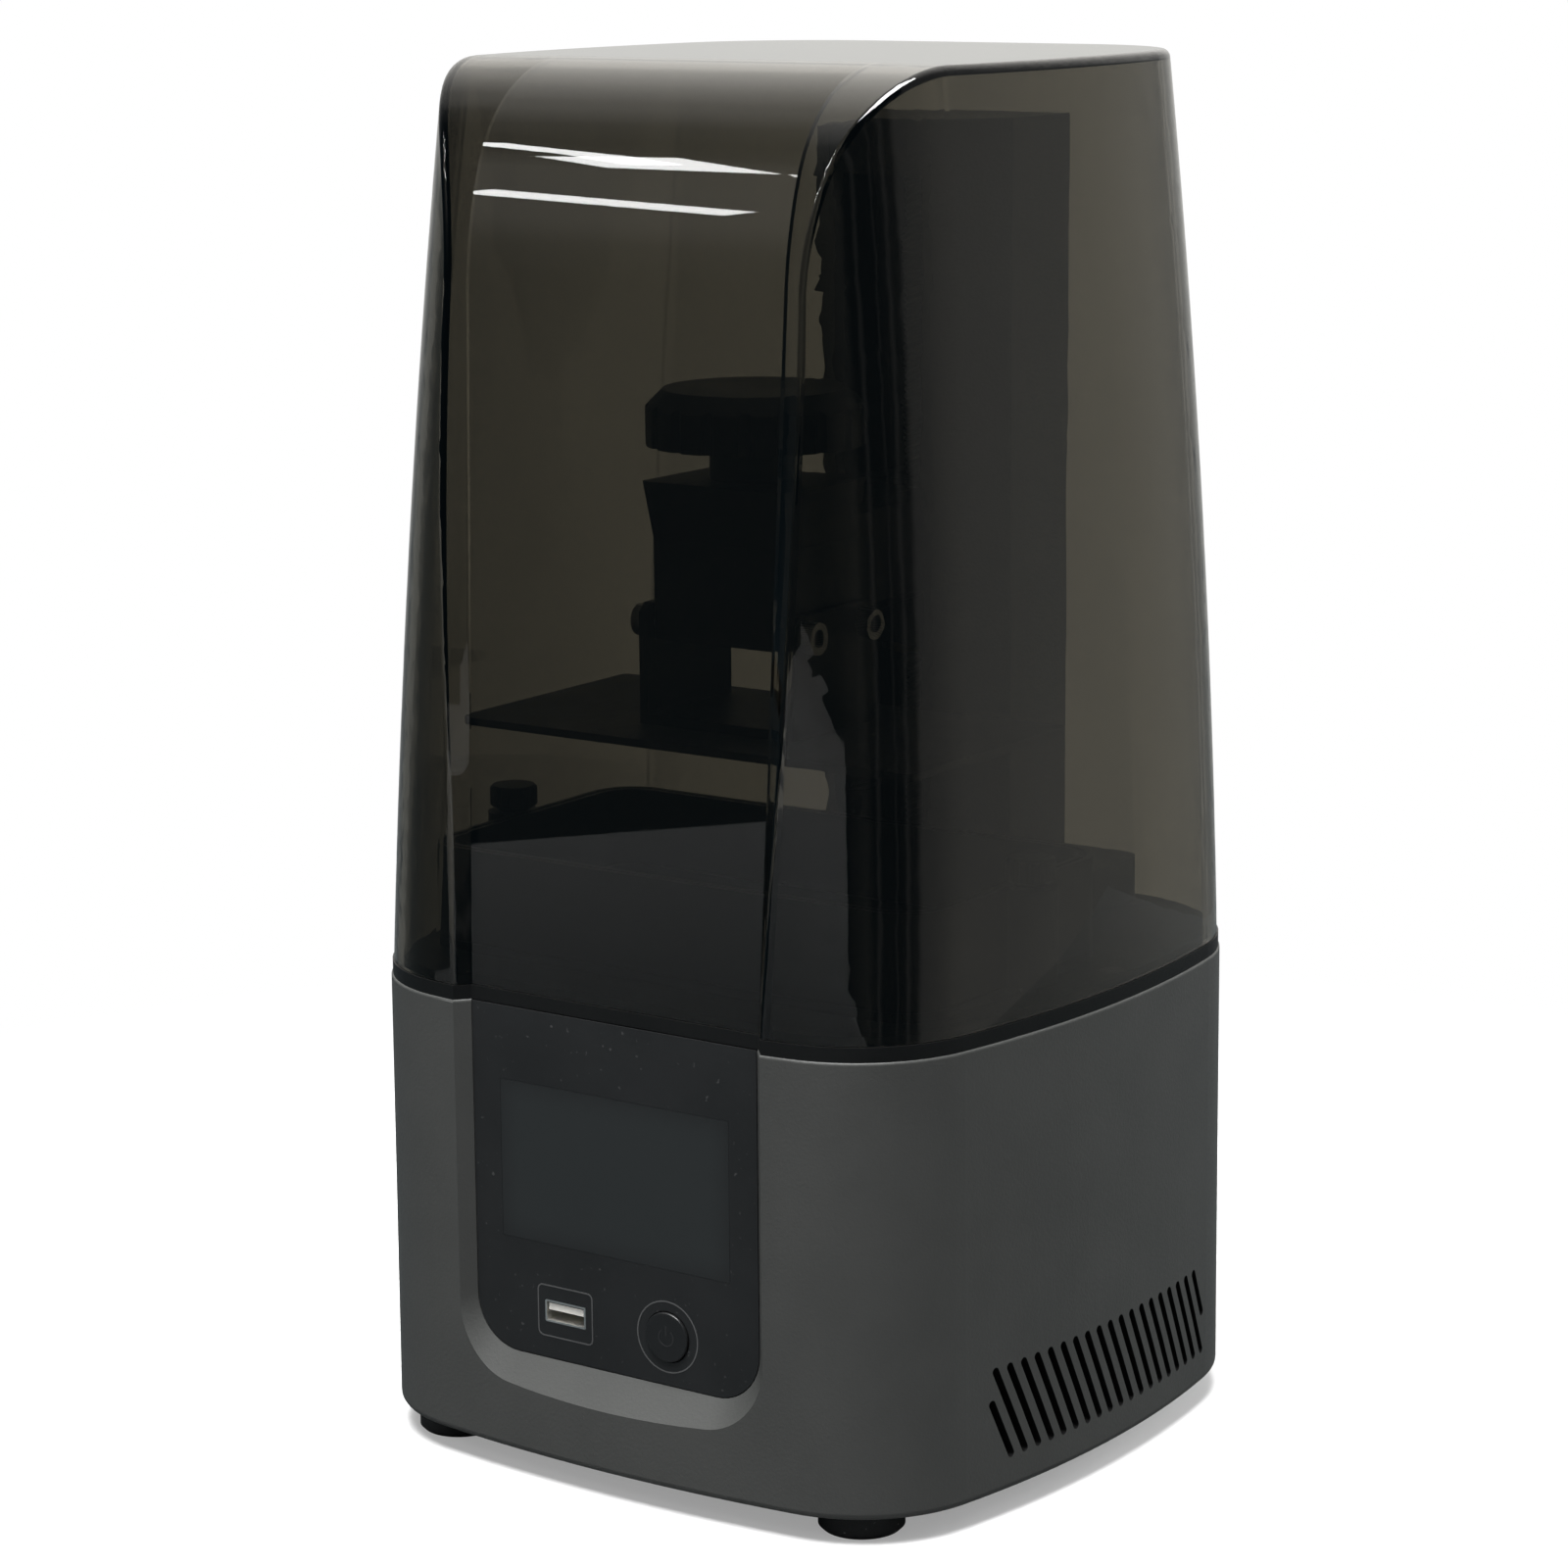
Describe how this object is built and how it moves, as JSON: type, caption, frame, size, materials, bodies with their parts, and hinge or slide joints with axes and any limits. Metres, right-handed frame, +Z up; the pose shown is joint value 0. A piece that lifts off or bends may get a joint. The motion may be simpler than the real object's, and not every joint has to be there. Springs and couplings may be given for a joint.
{
  "type": "resin printer",
  "caption": "Desktop resin printer: grey housing with touch panel, vat and light mask, a plate lifted by a screw on a tower, and a smoked lift-off cover.",
  "frame": {"origin": "centre of the printer's footprint, on the plane under its feet", "axes": "+Z up along the tower, -Y towards the front panel, +X to the right seen from the front"},
  "size_m": [0.2072, 0.197, 0.3865],
  "materials": {
    "housing_grey": "satin moulded",
    "panel_black": "satin",
    "screen_glass": "gloss",
    "smoked_clear": "clear polished",
    "seal_black": "satin",
    "foot_rubber": "matte",
    "button_black": "satin",
    "socket_metal": "satin",
    "tongue_white": "matte",
    "deck_black": "fine powder coat",
    "tower_grey": "fine powder coat",
    "arm_black": "anodised black",
    "plate_dark": "sanded",
    "vat_dark": "anodised",
    "knob_black": "satin",
    "film_clear": "clear",
    "mask_glass": "gloss",
    "bright_steel": "polished",
    "screw_black": "black oxide",
    "nut_brass": "turned",
    "bare_aluminium": "extruded",
    "motor_dark": "satin",
    "board_green": "solder mask",
    "emitter_yellow": "moulded",
    "lens_clear": "clear",
    "hood_black": "matte",
    "sheet_zinc": "zinc plated",
    "fan_black": "satin"
  },
  "bodies": {
    "base": {"base_shell": "housing_grey", "base_plate": "sheet_zinc", "base_screws": "screw_black", "foot_pads": "foot_rubber", "cover_seal": "seal_black", "top_deck": "deck_black", "deck_screws": "screw_black", "front_panel": "panel_black", "touch_screen": "screen_glass", "usb_socket": "socket_metal", "usb_tongue": "tongue_white", "button_board": "board_green", "mask_screen": "mask_glass", "film_frame": "bare_aluminium", "film_screws": "screw_black", "vat_film": "film_clear", "vat": "vat_dark", "light_hood": "hood_black", "lens_plate": "lens_clear", "light_board": "board_green", "light_emitters": "emitter_yellow", "heat_sink": "bare_aluminium", "board_posts": "nut_brass", "mainboard": "board_green", "fan_frame": "fan_black", "power_inlet": "fan_black", "tower_plinth": "tower_grey", "tower_column": "tower_grey", "tower_cap": "tower_grey", "top_bearing": "bright_steel", "z_motor": "motor_dark", "motor_bracket": "sheet_zinc", "linear_rail": "bright_steel", "limit_switch": "fan_black"},
    "cover": {"cover": "smoked_clear"},
    "carriage": {"rail_carriage": "bright_steel", "arm": "arm_black", "screw_nut": "nut_brass", "head_block": "arm_black", "plate_bracket": "arm_black", "level_screws": "bright_steel", "build_plate": "plate_dark"},
    "screw": {"lead_screw": "bright_steel", "shaft_coupling": "bare_aluminium", "motor_shaft": "bright_steel"},
    "knob": {"clamp_knob": "knob_black"},
    "button": {"power_button": "button_black"},
    "fan": {"fan_rotor": "fan_black"},
    "left_thumb": {"left_thumb_screw": "knob_black"},
    "right_thumb": {"right_thumb_screw": "knob_black"}
  },
  "joints": [
    {"name": "cover_lift", "type": "slide", "parent": "base", "child": "cover", "axis": [0, 0, 1], "range_m": [0, 0.26]},
    {"name": "z_travel", "type": "slide", "parent": "base", "child": "carriage", "axis": [0, 0, 1], "range_m": [-0.0598, 0.08]},
    {"name": "screw_turn", "type": "hinge", "parent": "base", "child": "screw", "pos_m": [0, 0.062, 0.12], "axis": [0, 0, 1], "range_deg": [-3650, 2700]},
    {"name": "knob_turn", "type": "hinge", "parent": "carriage", "child": "knob", "pos_m": [0, -0.021, 0.28], "axis": [0, 0, 1], "range_deg": [0, 720]},
    {"name": "power_press", "type": "slide", "parent": "base", "child": "button", "axis": [0, 1, 0], "range_m": [0, 0.0012], "stiffness_N_per_m": 900},
    {"name": "fan_spin", "type": "hinge", "parent": "base", "child": "fan", "pos_m": [0.08, 0.03, 0.0365], "axis": [1, 0, 0], "continuous": true},
    {"name": "left_thumb_turn", "type": "hinge", "parent": "base", "child": "left_thumb", "pos_m": [-0.087, -0.021, 0.16], "axis": [0, 0, 1], "range_deg": [0, 1080]},
    {"name": "right_thumb_turn", "type": "hinge", "parent": "base", "child": "right_thumb", "pos_m": [0.087, -0.021, 0.16], "axis": [0, 0, 1], "range_deg": [0, 1080]}
  ],
  "couplings": [
    {"joint": "screw_turn", "follows": "z_travel", "rad_per_m": -785.4}
  ]
}
